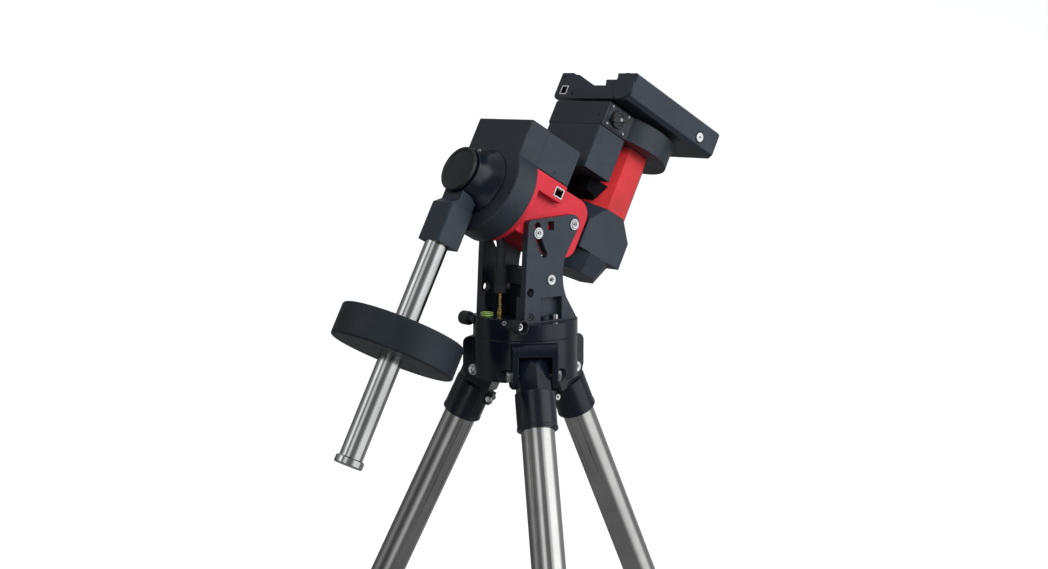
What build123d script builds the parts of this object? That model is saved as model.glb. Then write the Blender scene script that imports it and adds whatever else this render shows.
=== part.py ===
from build123d import *
import os
from math import cos, radians, sin, tan

# Centre-balanced equatorial mount on its tripod, in millimetres, +Z up.
# The origin is on the azimuth axis at floor level. North is -X, south is +X.
#
# Three frames are used:
#   row frame   the part's own frame
#   base frame  the row frame raised to the joint between tripod and azimuth base
#   head frame  origin on the polar axis, +x down the polar axis (south), +z along the
#               declination axis towards the saddle; the latitude tilts it about Y
# Both drives are the same unit, built once in a unit frame: +z along its axis towards the
# gear face, +x towards the motor side.

# ---------------------------------------------------------------- driving dimensions
HUB_Z = 640.0                 # height of the joint between the tripod and the azimuth base
HUB_R = 63.6                  # radius of the tripod hub and of the azimuth base
LATITUDE = 27.7               # tilt of the polar axis at rest, degrees
POLAR_X, POLAR_Z = -15.8, 159.7   # head frame's origin, in the base frame
RUN = 0.05                    # radial clearance of running fits

# tripod
LEG_ANGLES = (0, 120, 240)    # azimuth of each leg
LEG_LEAN = 25.8               # lean of a spread leg from the vertical
LEG_PIVOT_R, LEG_PIVOT_Z = 55.5, -42.3
SLEEVE_R = 24.0
SLEEVE_LENGTH = 66.0
SLEEVE_BOSS_Z = -32.0         # middle of the clamp boss, along the leg
TONGUE_HALF, TONGUE_LENGTH, TONGUE_SHOULDER = 18.3, 22.0, 10.0
TUBE_R, TUBE_BORE = 20.0, 17.6
INNER_R, INNER_BORE = 17.0, 15.0
TUBE_TOP, TUBE_END = -30.0, -530.0
INNER_TOP, INNER_END = -160.0, -640.0
COLLAR_R = 25.0
COLLAR_TOP, COLLAR_END = -506.0, -558.0
FOOT_R, FOOT_TOP, FOOT_END = 21.0, -612.0, -690.0
PIVOT_BOLT_R = 4.0
HUB_FLOOR = -50.0
LUG_HALF, SLOT_HALF = 27.5, 20.3
SLOT_INNER, SLOT_ROOF = 30.8, -17.6

# azimuth base and fork
BASE_GAP = 0.5
BASE_TOP, BLOCK_TOP = 20.0, 26.0
AZ_SCREW_X, AZ_SCREW_Z, AZ_SCREW_R = -51.0, 19.0, 4.0
AZ_BLOCK_Y = 38.5             # outer face of the screw blocks; the knobs travel up to it
PEG_R = 5.0
FORK_OUT, FORK_IN, FORK_FOOT_IN = 45.8, 36.8, 30.0
PIVOT_X, PIVOT_Z = 38.0, 134.6
LOCK_RADIUS, LOCK_DROP = 57.1, 7.3     # lock bolt: distance from the pivot, degrees below level
SLOT_UP, SLOT_DOWN = 8.5, 28.0         # slot ends, degrees from the lock bolt
SLOT_R = 4.5
BAR_X, BAR_Z = 1.5, 70.4
JACK_X = -39.0
JACK_SCREW_R, JACK_SCREW_TOP = 3.2, 70.0

# drive units, the same for both axes
UNIT_R, UNIT_HALF, UNIT_TOP, UNIT_T = 62.8, 49.4, 83.3, 31.0
UNIT_WALL = 4.0
UNIT_FRONT_BORE = 38.3
MOTOR_HALF, MOTOR_LOW, MOTOR_DEEP = 47.4, 37.3, 56.3
SHAFT_R, WIRE_R = 20.0, 5.0   # the shafts are bored for wiring only
CASTING_BORE = 30.0
WORM_DISTANCE, WORM_R, WHEEL_R = 57.0, 8.0, 48.6
MOTOR_Y = 27.0

# polar axis group, head frame
RA_BACK = -29.0               # back face of the polar drive unit
CASTING_HALF, CASTING_DEPTH = 36.4, 36.5
CASTING_SOUTH = 83.0
NOSE_R, NOSE_TIP_R, NOSE_NORTH = 38.0, 29.5, 91.0
CAP_R, CAP_NORTH, CAP_PLUG_R = 27.7, 98.5, 15.5
NOSE_GAP = 0.1                # between the nose and the clamp block curved round it
CW_X = -84.9                  # counterweight shaft's axis
CW_SHAFT_R, CW_SHAFT_END = 14.0, -365.2
CW_R, CW_T, CW_Z = 74.6, 39.2, -213.8

# declination axis group, head frame
DEC_X = 123.5
DEC_BACK = 128.0              # back face of the declination drive unit
COLUMN_HALF, COLUMN_LOW = 37.0, 45.0
KNUCKLE_WAIST, KNUCKLE_LOW = -14.0, -39.0
SADDLE_N, SADDLE_S = 46.5, 211.0
SADDLE_LOW, SADDLE_TOP = 165.4, 201.1
SADDLE_FLOOR, SADDLE_LEDGE = 184.0, 192.5
SADDLE_FAR, SADDLE_NEAR = 67.0, -70.5
CLAMP_X, CLAMP_Z, CLAMP_R = 179.5, 180.0, 3.2
JAW_END_R, JAW_END_Y, JAW_END_Z = 17.6, -52.8, 183.0

BASE = Pos(0, 0, HUB_Z)
HEAD = Pos(POLAR_X, 0, HUB_Z + POLAR_Z) * Rot(0, LATITUDE, 0)
RA_UNIT = HEAD * Pos(RA_BACK, 0, 0) * Rot(0, -90, 0)
DEC_UNIT = HEAD * Pos(DEC_X, 0, DEC_BACK) * Rot(0, 0, 180)


# ---------------------------------------------------------------- shape helpers
def block(x0, x1, y0, y1, z0, z1):
    return Pos((x0 + x1) / 2, (y0 + y1) / 2, (z0 + z1) / 2) * Box(x1 - x0, y1 - y0, z1 - z0)


def rod_z(radius, z0, z1, x=0, y=0):
    return Pos(x, y, (z0 + z1) / 2) * Cylinder(radius, z1 - z0)


def rod_y(radius, y0, y1, x=0, z=0):
    return Pos(x, (y0 + y1) / 2, z) * Rot(90, 0, 0) * Cylinder(radius, y1 - y0)


def rod_x(radius, x0, x1, y=0, z=0):
    return Pos((x0 + x1) / 2, y, z) * Rot(0, 90, 0) * Cylinder(radius, x1 - x0)


def ring_z(outer, inner, z0, z1, x=0, y=0):
    return rod_z(outer, z0, z1, x, y) - rod_z(inner, z0 - 1, z1 + 1, x, y)


def ring_x(outer, inner, x0, x1, y=0, z=0):
    return rod_x(outer, x0, x1, y, z) - rod_x(inner, x0 - 1, x1 + 1, y, z)


def prism_y(points, y0, y1):
    """Extrude an outline given as (x, z) points from y0 to y1."""
    face = make_face(Polyline(*[(x, y0, z) for x, z in points], close=True))
    return extrude(face, amount=y1 - y0, dir=(0, 1, 0))


def prism_x(points, x0, x1):
    """Extrude an outline given as (y, z) points from x0 to x1."""
    face = make_face(Polyline(*[(x0, y, z) for y, z in points], close=True))
    return extrude(face, amount=x1 - x0, dir=(1, 0, 0))


def prism_z(points, z0, z1):
    """Extrude an outline given as (x, y) points from z0 to z1."""
    face = make_face(Polyline(*[(x, y, z0) for x, y in points], close=True))
    return extrude(face, amount=z1 - z0, dir=(0, 0, 1))


def octagon_z(half, z0, z1, x=0):
    """Octagonal prism whose flats stand half away from its axis."""
    corner = half * tan(radians(22.5))
    outline = []
    for turn in range(4):
        c, s = (1, 0, -1, 0)[turn], (0, 1, 0, -1)[turn]
        for side in (-corner, corner):
            outline.append((x + half * c - side * s, half * s + side * c))
    return prism_z(outline, z0, z1)


def tetrahedron(corners):
    """Solid on four corner points."""
    faces = []
    for skip in range(4):
        ring = [corners[i] for i in range(4) if i != skip]
        faces.append(make_face(Polyline(*ring, close=True)))
    return Solid(Shell(faces))


def knurl_z(solid, radius, z0, z1, grooves, depth, x=0, y=0):
    """Cut lengthwise grip grooves round a knob on a vertical axis."""
    for i in range(grooves):
        turn = 360 * i / grooves
        groove = Pos(x, y, (z0 + z1) / 2) * Rot(0, 0, turn) * Pos(radius, 0, 0)
        solid -= groove * Cylinder(depth, z1 - z0 + 0.2)
    return solid


def edges_near(shape, axis, value, tolerance=0.3):
    edges = shape if isinstance(shape, ShapeList) else shape.edges()
    return edges.filter_by_position(axis, value - tolerance, value + tolerance)


# ---------------------------------------------------------------- tripod
def leg_frame(angle):
    """Frame at a leg's hinge: +z up the leg, +x outwards, +y along the hinge."""
    return BASE * Rot(0, 0, angle) * Pos(LEG_PIVOT_R, 0, LEG_PIVOT_Z) * Rot(0, -LEG_LEAN, 0)


def tripod_hub():
    hub = rod_z(HUB_R, HUB_FLOOR, 0)
    lug = prism_y([(40, -2), (71, -2), (71, -40), (66, -56), (46, -56), (40, -50)], -LUG_HALF, LUG_HALF)
    lug = fillet(edges_near(edges_near(lug, Axis.X, 71), Axis.Z, -2), 9)
    slot = block(SLOT_INNER, 90, -SLOT_HALF, SLOT_HALF, -60, SLOT_ROOF)
    bolt_hole = rod_y(PIVOT_BOLT_R + RUN, -40, 40, LEG_PIVOT_R, LEG_PIVOT_Z)
    head_seats = rod_y(8, LUG_HALF, 48, LEG_PIVOT_R, LEG_PIVOT_Z)
    head_seats += rod_y(8, -48, -LUG_HALF, LEG_PIVOT_R, LEG_PIVOT_Z)
    for angle in LEG_ANGLES:
        hub += Rot(0, 0, angle) * lug
    for angle in LEG_ANGLES:
        hub -= Rot(0, 0, angle) * slot
        hub -= Rot(0, 0, angle) * bolt_hole
        hub -= Rot(0, 0, angle) * head_seats
    hub -= rod_z(26, HUB_FLOOR - 1, -14)
    hub -= rod_z(6.5, -20, 1)
    hub += rod_z(PEG_R, -1, 23, AZ_SCREW_X)
    return BASE * hub


def mount_bolt():
    knob = knurl_z(rod_z(22, -44, -32), 23, -44, -32, 12, 3)
    return BASE * (knob + rod_z(9, -32, -14) + rod_z(6, -14, 15))


def leg_pivot_bolts():
    """One hinge bolt with head and nut for each leg."""
    bolt = rod_y(PIVOT_BOLT_R, -LUG_HALF - 6, LUG_HALF + 6, LEG_PIVOT_R, LEG_PIVOT_Z)
    for side in (-1, 1):
        low, high = sorted((side * (LUG_HALF + 0.05), side * (LUG_HALF + 6)))
        bolt += rod_y(7, low, high, LEG_PIVOT_R, LEG_PIVOT_Z)
    return Compound([BASE * Rot(0, 0, angle) * bolt for angle in LEG_ANGLES])


def leg_sleeve(angle):
    """Socket that joins a leg to the hub by a ridged tongue, rounded about the hinge."""
    tongue = rod_y(SLEEVE_R, -TONGUE_HALF, TONGUE_HALF)
    tongue += block(-SLEEVE_R, SLEEVE_R, -TONGUE_HALF, TONGUE_HALF, -TONGUE_LENGTH - 2, 0)
    ridge = [(-SLEEVE_R, -TONGUE_HALF), (TONGUE_SHOULDER, -TONGUE_HALF), (SLEEVE_R, 0),
             (TONGUE_SHOULDER, TONGUE_HALF), (-SLEEVE_R, TONGUE_HALF)]
    tongue &= prism_z(ridge, -TONGUE_LENGTH - 2, SLEEVE_R)
    sleeve = rod_z(SLEEVE_R, -SLEEVE_LENGTH, -TONGUE_LENGTH) + tongue
    sleeve -= rod_z(TUBE_R + RUN, -SLEEVE_LENGTH - 1, TUBE_TOP)
    sleeve -= rod_y(PIVOT_BOLT_R + RUN, -TONGUE_HALF - 1, TONGUE_HALF + 1)
    sleeve += block(-SLEEVE_R - 5, -SLEEVE_R + 2, -6, 6, SLEEVE_BOSS_Z - 8, SLEEVE_BOSS_Z + 8)
    return leg_frame(angle) * sleeve


def leg_tube(angle):
    return leg_frame(angle) * ring_z(TUBE_R, TUBE_BORE, TUBE_END, TUBE_TOP)


def leg_inner_tube(angle):
    return leg_frame(angle) * ring_z(INNER_R, INNER_BORE, INNER_END, INNER_TOP)


def leg_collar(angle):
    """Twist collar that grips the inner tube."""
    collar = rod_z(COLLAR_R, COLLAR_END, COLLAR_TOP)
    collar = chamfer(collar.edges().filter_by(GeomType.CIRCLE), 2)
    collar = knurl_z(collar, COLLAR_R + 1.6, COLLAR_END, COLLAR_TOP, 16, 3)
    collar -= rod_z(INNER_R + 2 * RUN, COLLAR_END - 1, COLLAR_TOP + 1)
    collar -= rod_z(TUBE_R + 2 * RUN, TUBE_END - 0.5, COLLAR_TOP + 1)
    return leg_frame(angle) * collar


def leg_foot(angle):
    """Rubber foot, cut level where it meets the floor."""
    foot = rod_z(FOOT_R, FOOT_END, FOOT_TOP) - rod_z(INNER_R + RUN, INNER_END, FOOT_TOP + 1)
    below_floor = block(-600, 600, -600, 600, -200, 0)
    return leg_frame(angle) * foot - below_floor


# ---------------------------------------------------------------- azimuth base and fork
def azimuth_base():
    base = rod_z(HUB_R, BASE_GAP, BASE_TOP)
    north = block(-HUB_R, -24, -FORK_FOOT_IN, FORK_FOOT_IN, BASE_TOP - 1, BLOCK_TOP)
    base += north & rod_z(HUB_R, BASE_GAP, BLOCK_TOP)
    for side in (-1, 1):
        low, high = sorted((side * 30, side * AZ_BLOCK_Y))
        screw_block = block(AZ_SCREW_X - 9, AZ_SCREW_X + 9, low, high, BASE_GAP, BLOCK_TOP)
        base += screw_block & rod_z(HUB_R, BASE_GAP, BLOCK_TOP)
    for side in (-1, 1):
        low, high = sorted((side * (AZ_BLOCK_Y + 0.3), side * 64))
        base -= rod_y(9.2, low, high, AZ_SCREW_X, AZ_SCREW_Z)
    base -= rod_z(6 + 2 * RUN, 0, 16)
    base -= block(AZ_SCREW_X - 7, AZ_SCREW_X + 7, -14, 14, 0, 24)
    base -= rod_y(AZ_SCREW_R + RUN, -60, 60, AZ_SCREW_X, AZ_SCREW_Z)
    base -= rod_z(JACK_SCREW_R + RUN, BLOCK_TOP - 8, BLOCK_TOP + 1, JACK_X)
    return BASE * base


def around_pivot(angle, radius):
    """Base-frame (x, z) at an angle and distance from the altitude pivot."""
    return PIVOT_X + radius * cos(radians(angle)), PIVOT_Z + radius * sin(radians(angle))


def fork_outline():
    """Side view of a fork plate in the base frame, with its waist as an arc."""
    crown = ThreePointArc((33, 0, 146.5), (43.5, 0, 143.5), (46.5, 0, 133))
    waist = ThreePointArc((24.5, 0, 97), (20.5, 0, 73), (26, 0, 48))
    rest = Polyline((44, 0, 20), (-40, 0, 20), (-36, 0, 100), (-33, 0, 140), (-29, 0, 143), (33, 0, 146.5))
    return make_face([crown, Line((46.5, 0, 133), (24.5, 0, 97)), waist,
                      Line((26, 0, 48), (44, 0, 20)), rest])


def lock_slot(y0, y1):
    """Curved slot about the altitude pivot, with round ends."""
    first = 180 + LOCK_DROP - SLOT_UP
    last = 180 + LOCK_DROP + SLOT_DOWN
    slot = rod_y(LOCK_RADIUS + SLOT_R, y0, y1, PIVOT_X, PIVOT_Z)
    slot -= rod_y(LOCK_RADIUS - SLOT_R, y0 - 1, y1 + 1, PIVOT_X, PIVOT_Z)
    wedge = [(PIVOT_X, PIVOT_Z)]
    for angle in (first, (first + last) / 2, last):
        wedge.append(around_pivot(angle, 90))
    slot = slot & prism_y(wedge, y0, y1)
    for angle in (first, last):
        x, z = around_pivot(angle, LOCK_RADIUS)
        slot += rod_y(SLOT_R, y0, y1, x, z)
    return slot


def fork_plate(side):
    """One upright of the altitude fork; side is -1 for near (-Y) and 1 for far (+Y)."""
    plate = Pos(0, FORK_IN, 0) * extrude(fork_outline(), amount=FORK_OUT - FORK_IN, dir=(0, 1, 0))
    foot = Pos(0, FORK_FOOT_IN, 0) * extrude(fork_outline(), amount=FORK_IN - FORK_FOOT_IN + 1, dir=(0, 1, 0))
    plate += foot & block(-40, 46, FORK_FOOT_IN, FORK_IN + 1, BASE_TOP, 52)
    plate -= lock_slot(FORK_IN - 1, FORK_OUT + 1)
    plate -= rod_y(4 + RUN, FORK_IN - 1, FORK_OUT + 1, PIVOT_X, PIVOT_Z)
    plate -= block(-3.5, 6.4, FORK_IN - 1, FORK_OUT + 1, 129.7, 140.2)
    plate -= rod_y(5.3, FORK_FOOT_IN - 1, FORK_OUT + 1, -30.2, 57.2)
    plate -= rod_y(4.5, FORK_FOOT_IN - 1, FORK_OUT + 1, -30.2, 28.0)
    plate -= rod_y(4 + RUN, FORK_IN - 1, FORK_OUT + 1, BAR_X, BAR_Z)
    plate -= block(-14.4, 18.8, FORK_IN - 0.4, FORK_OUT + 1, BASE_TOP + 2, 49.5)
    for x in (-4, 12):
        plate -= rod_z(2.6, BASE_TOP - 1, BASE_TOP + 4, x, 41.0)
    if side < 0:
        plate = mirror(plate, Plane.XZ)
    return BASE * plate


def fork_cross_bar():
    """Spacer bar between the plates with a thin web down to the base."""
    bar = block(-8, 11, -FORK_IN, FORK_IN, 61, 81)
    bar += block(0, 6, -FORK_FOOT_IN, FORK_FOOT_IN, BASE_TOP, 62)
    for side in (-1, 1):
        low, high = sorted((side * (FORK_IN - 14), side * (FORK_IN + 1)))
        bar -= rod_y(4, low, high, BAR_X, BAR_Z)
    return BASE * bar


def screw_y(x, z, side, face, shank, head_r, shank_r, head=3.6):
    """Socket screw along Y entering from the outer face of a plate."""
    low, high = sorted((side * face, side * (face + head)))
    body = rod_y(head_r, low, high, x, z)
    low, high = sorted((side * (face - shank), side * face))
    body += rod_y(shank_r, low, high, x, z)
    low, high = sorted((side * (face + head - 2), side * (face + head + 1)))
    socket = Pos(x, (low + high) / 2, z) * Rot(90, 0, 0)
    return body - socket * extrude(RegularPolygon(2.4, 6), amount=(high - low) / 2, both=True)


def fork_screws():
    """Cross-bar bolts, foot screws and the plug in the spare jack hole, on both plates."""
    screws = []
    for side in (-1, 1):
        screws.append(screw_y(BAR_X, BAR_Z, side, FORK_OUT, 22, 6.6, 3.9))
        screws.append(screw_y(-30.2, 28.0, side, FORK_OUT - 3.5, 10, 4.4, 3.2, head=3))
        for x in (-4, 12):
            head = rod_z(4.2, BASE_TOP + 2.05, BASE_TOP + 8, x, side * 41.0)
            screws.append(head + rod_z(2.5, BASE_TOP + 0.05, BASE_TOP + 3, x, side * 41.0))
    return BASE * Compound(screws)


def bubble_level():
    vial = rod_z(8.5, BLOCK_TOP, BLOCK_TOP + 4.5, -47, 16)
    return BASE * fillet(vial.edges().filter_by_position(Axis.Z, BLOCK_TOP + 4, BLOCK_TOP + 5), 1.2)


def azimuth_screws():
    """The pair of opposed push screws; both move the same way as the base turns."""
    pair = []
    for side in (-1, 1):
        low, high = sorted((side * (PEG_R + 0.25), side * 43.5))
        pair.append(rod_y(AZ_SCREW_R, low, high, AZ_SCREW_X, AZ_SCREW_Z))
    return BASE * Compound(pair)


def azimuth_knobs():
    pair = []
    for side in (-1, 1):
        low, high = sorted((side * 43.6, side * 58))
        knob = rod_y(8.6, low, high, AZ_SCREW_X, AZ_SCREW_Z)
        knob = chamfer(knob.edges().filter_by(GeomType.CIRCLE), 1)
        for i in range(14):
            turn = 360 * i / 14
            groove = Pos(AZ_SCREW_X, (low + high) / 2, AZ_SCREW_Z) * Rot(0, turn, 0) * Pos(9.1, 0, 0)
            knob -= groove * Rot(90, 0, 0) * Cylinder(1.1, high - low + 1)
        low, high = sorted((side * 55.5, side * 59))
        knob -= rod_y(4.5, low, high, AZ_SCREW_X, AZ_SCREW_Z)
        pair.append(knob)
    return BASE * Compound(pair)


def altitude_screw():
    """Brass jack screw standing in the base, with its hex collar."""
    screw = rod_z(JACK_SCREW_R, BLOCK_TOP - 8, JACK_SCREW_TOP, JACK_X)
    collar = Pos(JACK_X, 0, BLOCK_TOP) * extrude(RegularPolygon(5.5, 6), amount=6)
    return BASE * (screw + collar)


def altitude_plunger():
    """Steel push rod with a ball end under the polar casting."""
    ball = 123.6
    rod = rod_z(4.5, 84, ball, JACK_X) + Pos(JACK_X, 0, ball) * Sphere(4.5)
    return BASE * (rod - rod_z(JACK_SCREW_R + 0.2, 83, 98, JACK_X))


def altitude_knob():
    """Black sleeve nut that is turned by hand; a grip below and a plain neck above."""
    grip = knurl_z(rod_z(7.6, 54, 82, JACK_X), 8.2, 54, 82, 16, 1.1, JACK_X)
    knob = grip + rod_z(6.6, 82, 109, JACK_X)
    knob -= rod_z(JACK_SCREW_R + RUN, 53, 84, JACK_X)
    knob -= rod_z(4.5 + RUN, 83.9, 110, JACK_X)
    return BASE * knob


# ---------------------------------------------------------------- drive unit, unit frame
def unit_profile(radius, half, top, z0, z1):
    """Round housing with a square shoulder towards the motor side."""
    return rod_z(radius, z0, z1) + block(0, top, -half, half, z0, z1)


def gear_housing():
    shell = unit_profile(UNIT_R, UNIT_HALF, UNIT_TOP, 0, UNIT_T)
    shell = chamfer(edges_near(shell, Axis.Z, UNIT_T), 1.2)
    shell -= unit_profile(UNIT_R - UNIT_WALL, UNIT_HALF - UNIT_WALL, UNIT_TOP - UNIT_WALL,
                          UNIT_WALL, UNIT_T - UNIT_WALL)
    shell -= rod_z(UNIT_FRONT_BORE, UNIT_T - UNIT_WALL - 1, UNIT_T + 1)
    shell -= rod_z(SHAFT_R + 2, -1, UNIT_WALL + 1)
    shell -= block(50, 70, MOTOR_Y - 10, MOTOR_Y + 10, -1, UNIT_WALL + 1)
    return shell


def motor_cover():
    cover = block(MOTOR_LOW, UNIT_TOP, -MOTOR_HALF, MOTOR_HALF, -MOTOR_DEEP, 0)
    cover = fillet(cover.edges().filter_by(Axis.Z), 1.5)
    cover -= block(MOTOR_LOW + 3, UNIT_TOP - 3, -MOTOR_HALF + 3, MOTOR_HALF - 3, -MOTOR_DEEP + 3, 1)
    return cover


def motor():
    """Stepper motor body, its output shaft and the pinion that drives the worm."""
    body = block(43, 77, MOTOR_Y - 17, MOTOR_Y + 17, -51, -11)
    return body + rod_z(3, -11, 6, 60, MOTOR_Y) + rod_z(6.5, 6, 11, 60, MOTOR_Y)


def worm():
    """Worm on its cross shaft beside the wheel, with end journals."""
    screw = rod_y(WORM_R, -18, 18, WORM_DISTANCE, UNIT_T / 2)
    for i in range(9):
        y = -16 + 4 * i
        thread_root = rod_y(WORM_R + 1, y - 0.7, y + 0.7, WORM_DISTANCE, UNIT_T / 2)
        thread_root -= rod_y(WORM_R - 1.2, y - 1, y + 1, WORM_DISTANCE, UNIT_T / 2)
        screw -= thread_root
    return screw + rod_y(3.5, -40, 40, WORM_DISTANCE, UNIT_T / 2)


def worm_wheel():
    """Bronze wheel, hollowed round its rim for the worm, with a fine tooth pattern."""
    wheel = ring_z(WHEEL_R, SHAFT_R + RUN, UNIT_T / 2 - 7, UNIT_T / 2 + 7)
    for i in range(72):
        tooth_gap = Rot(0, 0, 5 * i) * Pos(WHEEL_R + 0.3, 0, UNIT_T / 2) * Box(1.6, 1.4, 16)
        wheel -= tooth_gap
    return wheel


def gear_switch():
    """Lever knob that engages the worm, on a shaft through the housing's side."""
    knob = rod_y(9, UNIT_HALF + 1.3, UNIT_HALF + 8, 63.4, UNIT_T / 2)
    knob += rod_y(3.5, UNIT_HALF - 8, UNIT_HALF + 2, 63.4, UNIT_T / 2)
    return knob + Pos(63.4, UNIT_HALF + 5, UNIT_T / 2) * Rot(0, 25, 0) * Pos(8, 0, 0) * Box(12, 6, 6)


def gear_housing_with_switch():
    """The housing with the switch's escutcheon and its shaft hole."""
    shell = gear_housing()
    shell += block(45, 80, UNIT_HALF - 1, UNIT_HALF + 1, 2, UNIT_T - 2)
    return shell - rod_y(3.5 + RUN, UNIT_HALF - 9, UNIT_HALF + 2, 63.4, UNIT_T / 2)


def bearings(first, second):
    """Two plain bearing rings on the unit's axis, given by the z of their low faces."""
    rings = [ring_z(CASTING_BORE - RUN, SHAFT_R + RUN, z, z + 14) for z in (first, second)]
    return Compound(rings)


# ---------------------------------------------------------------- polar axis group, head frame
def head_point(x, z):
    """Head-frame (x, z) of a point given in the base frame."""
    dx, dz = x - POLAR_X, z - POLAR_Z
    c, s = cos(radians(LATITUDE)), sin(radians(LATITUDE))
    return dx * c - dz * s, dx * s + dz * c


def lock_point():
    """Head-frame (x, z) of the altitude lock bolt."""
    return head_point(*around_pivot(180 + LOCK_DROP, LOCK_RADIUS))


def ra_casting():
    """Red casting that carries the polar shaft between the fork plates."""
    body = block(-20, CASTING_SOUTH, -CASTING_HALF, CASTING_HALF, -CASTING_DEPTH - 1.5, CASTING_DEPTH)
    body = fillet(edges_near(body, Axis.X, CASTING_SOUTH).filter_by(Axis.Y), 19)
    body += rod_x(58, RA_BACK, -19)
    body -= block(RA_BACK - 1, -18, -13, 13, -60, -CASTING_DEPTH - 1.5)
    body -= block(RA_BACK - 1, -19, -60, 60, CASTING_DEPTH, 60)
    body -= block(RA_BACK - 1, -18, -60, -CASTING_HALF, 15, CASTING_DEPTH + 1)
    body -= rod_x(CASTING_BORE, RA_BACK - 1, CASTING_SOUTH + 1)
    for side in (-1, 1):
        low, high = sorted((side * (CASTING_HALF - 6), side * (CASTING_HALF + 1)))
        pivot, lock = head_point(PIVOT_X, PIVOT_Z), lock_point()
        body -= rod_y(3.6, low, high, pivot[0], pivot[1])
        body -= rod_y(3.6, low, high, lock[0], lock[1])
    return HEAD * body


def altitude_bolts():
    """Pivot bolt and lock bolt with broad washers, on each side."""
    bolts = []
    for side in (-1, 1):
        for x, z in (head_point(PIVOT_X, PIVOT_Z), lock_point()):
            shank = FORK_OUT - CASTING_HALF + 5.5
            bolts.append(screw_y(x, z, side, FORK_OUT + 0.1, shank, 6.6, 3.5))
    return HEAD * Compound(bolts)


def ra_port_box():
    """Red side box under the motor cover, with a socket opening."""
    box = block(-27, 28, -MOTOR_HALF, -CASTING_HALF - 0.1, 15.2, 36.6)
    box = fillet(box.edges().filter_by(Axis.Y), 1.5)
    return HEAD * (box - block(11.5, 25.5, -MOTOR_HALF - 1, -CASTING_HALF - 1.5, 19.5, 31.5))


def ra_shaft():
    """Polar shaft with the flange that carries the declination axis."""
    shaft = ring_x(SHAFT_R, WIRE_R, -58, 85.4)
    return HEAD * (shaft + ring_x(29, WIRE_R, CASTING_SOUTH + 0.5, 85.4))


def nose_solid(gap=0.0):
    """The nose's outside, made larger all round by gap."""
    profile = Polyline((-56.5, 0, 0), (-56.5, 0, NOSE_R + gap), (-65, 0, NOSE_R + gap),
                       (-76, 0, 31.5 + gap), (-NOSE_NORTH, 0, NOSE_TIP_R + gap),
                       (-NOSE_NORTH, 0, 0), close=True)
    return revolve(make_face(profile), Axis.X)


def ra_nose():
    """Turning boss that comes out of the polar housing's north face."""
    nose = nose_solid() - rod_x(WIRE_R, -NOSE_NORTH - 1, -50)
    nose -= rod_x(CAP_PLUG_R, -NOSE_NORTH - 1, -NOSE_NORTH + 9)
    return HEAD * (nose - rod_x(SHAFT_R + RUN, -58, -50))


def polar_cap():
    """Pull-off cap on the nose's north face, with a finger lip and a plug behind."""
    cap = rod_x(CAP_R, -CAP_NORTH, -NOSE_NORTH - 2) + rod_x(24.5, -NOSE_NORTH - 2.5, -NOSE_NORTH)
    cap = chamfer(edges_near(cap, Axis.X, -CAP_NORTH), 1)
    return HEAD * (cap + rod_x(CAP_PLUG_R - RUN, -NOSE_NORTH - 0.5, -NOSE_NORTH + 8))


def cw_block():
    """Clamp block under the nose that holds the counterweight shaft."""
    body = block(-99.9, -66.4, -19.5, 19.5, -91.6, -44)
    body = chamfer(body.edges().filter_by(Axis.Z), 1.5)
    neck = block(-90.9, -67.5, -17, 17, -45, -20)
    neck += prism_y([(-99.9, -44), (-90.9, -36), (-90.9, -45), (-99.9, -45)], -17, 17)
    body += neck
    body -= nose_solid(NOSE_GAP)
    body -= rod_x(NOSE_TIP_R + NOSE_GAP, -120, -60)
    return HEAD * (body - rod_z(CW_SHAFT_R + RUN, -92, -60, CW_X))


def cw_shaft():
    shaft = rod_z(CW_SHAFT_R, -356, -60, CW_X)
    return HEAD * (shaft - rod_z(4, -357, -340, CW_X))


def cw_end_stop():
    """Safety flange screwed into the shaft's end."""
    stop = rod_z(17, CW_SHAFT_END, -356, CW_X)
    stop = chamfer(stop.edges().filter_by(GeomType.CIRCLE), 1.2)
    return HEAD * (stop + rod_z(4 - RUN, -356.5, -342, CW_X))


def counterweight():
    low, high = CW_Z - CW_T / 2, CW_Z + CW_T / 2
    disc = rod_z(CW_R, low, high, CW_X)
    disc = fillet(disc.edges().filter_by(GeomType.CIRCLE), 2.5)
    disc -= rod_z(CW_SHAFT_R + 2 * RUN, low - 1, high + 1, CW_X)
    return HEAD * (disc - rod_y(4 + RUN, 0, CW_R + 1, CW_X, CW_Z))


def cw_lock_screw():
    """Thumb screw through the counterweight's rim."""
    screw = rod_y(4, CW_SHAFT_R + 1, CW_R + 4, CW_X, CW_Z)
    knob = rod_y(10, CW_R + 2, CW_R + 16, CW_X, CW_Z)
    for i in range(10):
        groove = Pos(CW_X, CW_R + 9, CW_Z) * Rot(0, 36 * i, 0) * Pos(10.8, 0, 0)
        knob -= groove * Rot(90, 0, 0) * Cylinder(1.8, 16)
    return HEAD * (screw + knob)


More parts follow.
